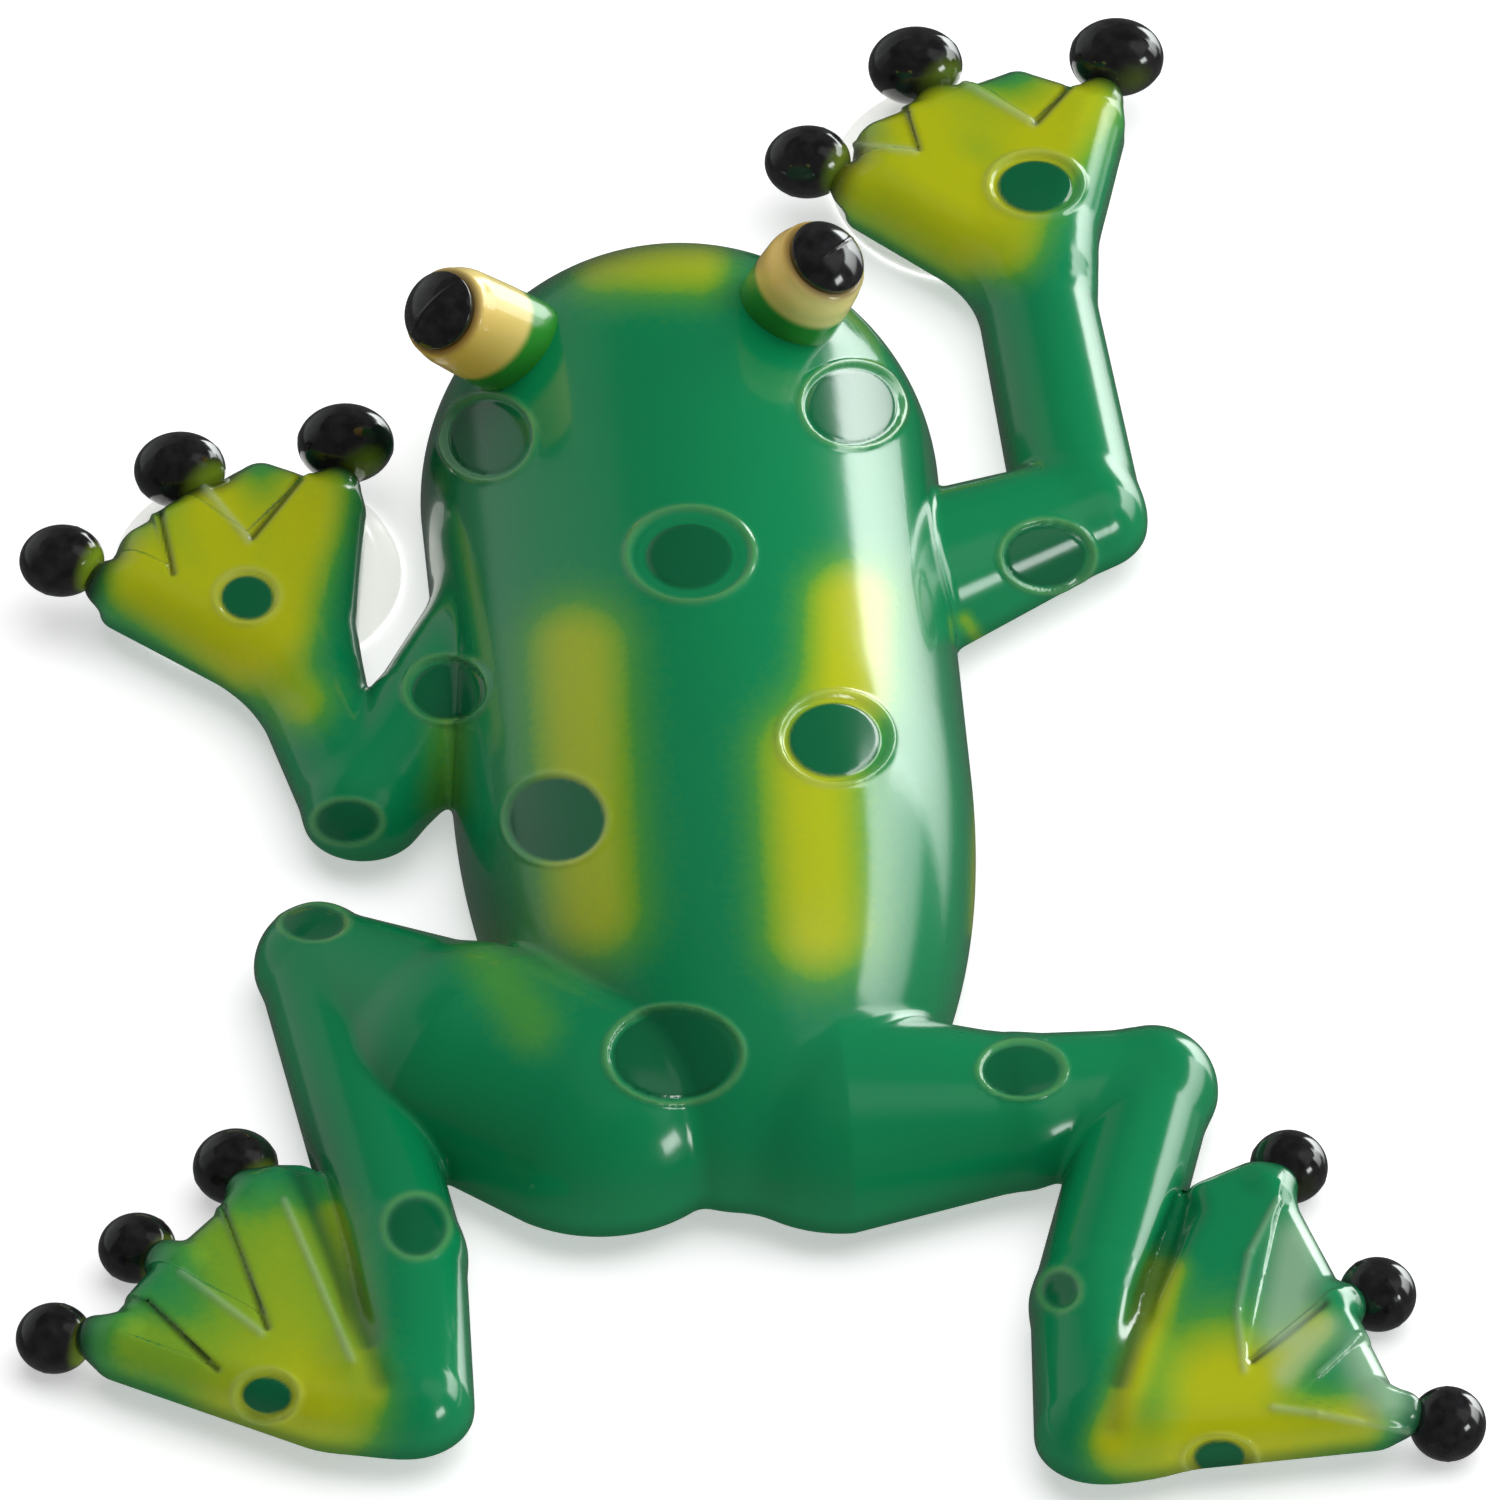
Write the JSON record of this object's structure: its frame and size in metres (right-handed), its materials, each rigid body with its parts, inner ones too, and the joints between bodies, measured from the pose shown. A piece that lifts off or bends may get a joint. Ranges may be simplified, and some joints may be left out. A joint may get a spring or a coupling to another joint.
{
  "type": "suction-cup wall frog",
  "caption": "Hollow moulded plastic climbing frog with suction cups behind its hands, glossy ball toes and swivelling eye barrels with domed pupils",
  "frame": {"origin": "on the glass plane that the frog sticks to, under the middle of its overall box", "axes": "+Z out of the frog's back, away from the glass; +Y towards its head, along its longest side; +X to its right, seen from behind it"},
  "size_m": [0.2017, 0.2791, 0.054],
  "materials": {
    "painted_shell": "emerald green gloss plastic, airbrushed yellow-green on the hands, the feet and two back stripes",
    "cover_plastic": "plain emerald green plastic, satin gloss",
    "screw_steel": "zinc-plated steel",
    "gloss_black": "glossy black plastic",
    "clear_vinyl": "clear soft vinyl",
    "eye_paint": "cream to golden-yellow gloss paint over a green foot band",
    "washer_nylon": "natural nylon"
  },
  "bodies": {
    "root": {"front_shell": "painted_shell", "rear_cover": "cover_plastic", "cover_screws": "screw_steel", "left_hand_ball_1": "gloss_black", "left_hand_ball_2": "gloss_black", "left_hand_ball_3": "gloss_black", "right_hand_ball_1": "gloss_black", "right_hand_ball_2": "gloss_black", "right_hand_ball_3": "gloss_black", "left_foot_ball_1": "gloss_black", "left_foot_ball_2": "gloss_black", "left_foot_ball_3": "gloss_black", "right_foot_ball_1": "gloss_black", "right_foot_ball_2": "gloss_black", "right_foot_ball_3": "gloss_black"},
    "left_eye": {"left_eye_barrel": "eye_paint", "left_pupil": "gloss_black", "left_eye_washer": "washer_nylon"},
    "right_eye": {"right_eye_barrel": "eye_paint", "right_pupil": "gloss_black", "right_eye_washer": "washer_nylon"},
    "left_cup": {"left_suction_cup": "clear_vinyl"},
    "right_cup": {"right_suction_cup": "clear_vinyl"}
  },
  "joints": [
    {"name": "left_eye_turn", "type": "hinge", "parent": "root", "child": "left_eye", "pos_m": [-0.03267, 0.0528, 0.03362], "axis": [-0.6496, -0.2598, 0.7145], "continuous": true},
    {"name": "right_eye_turn", "type": "hinge", "parent": "root", "child": "right_eye", "pos_m": [0.00583, 0.05579, 0.03829], "axis": [0.3302, -0.2301, 0.9154], "continuous": true},
    {"name": "left_cup_turn", "type": "hinge", "parent": "root", "child": "left_cup", "pos_m": [-0.0679, 0.0415, 0.006], "axis": [0, 0, 1], "continuous": true},
    {"name": "right_cup_turn", "type": "hinge", "parent": "root", "child": "right_cup", "pos_m": [0.0315, 0.1191, 0.006], "axis": [0, 0, 1], "continuous": true}
  ]
}
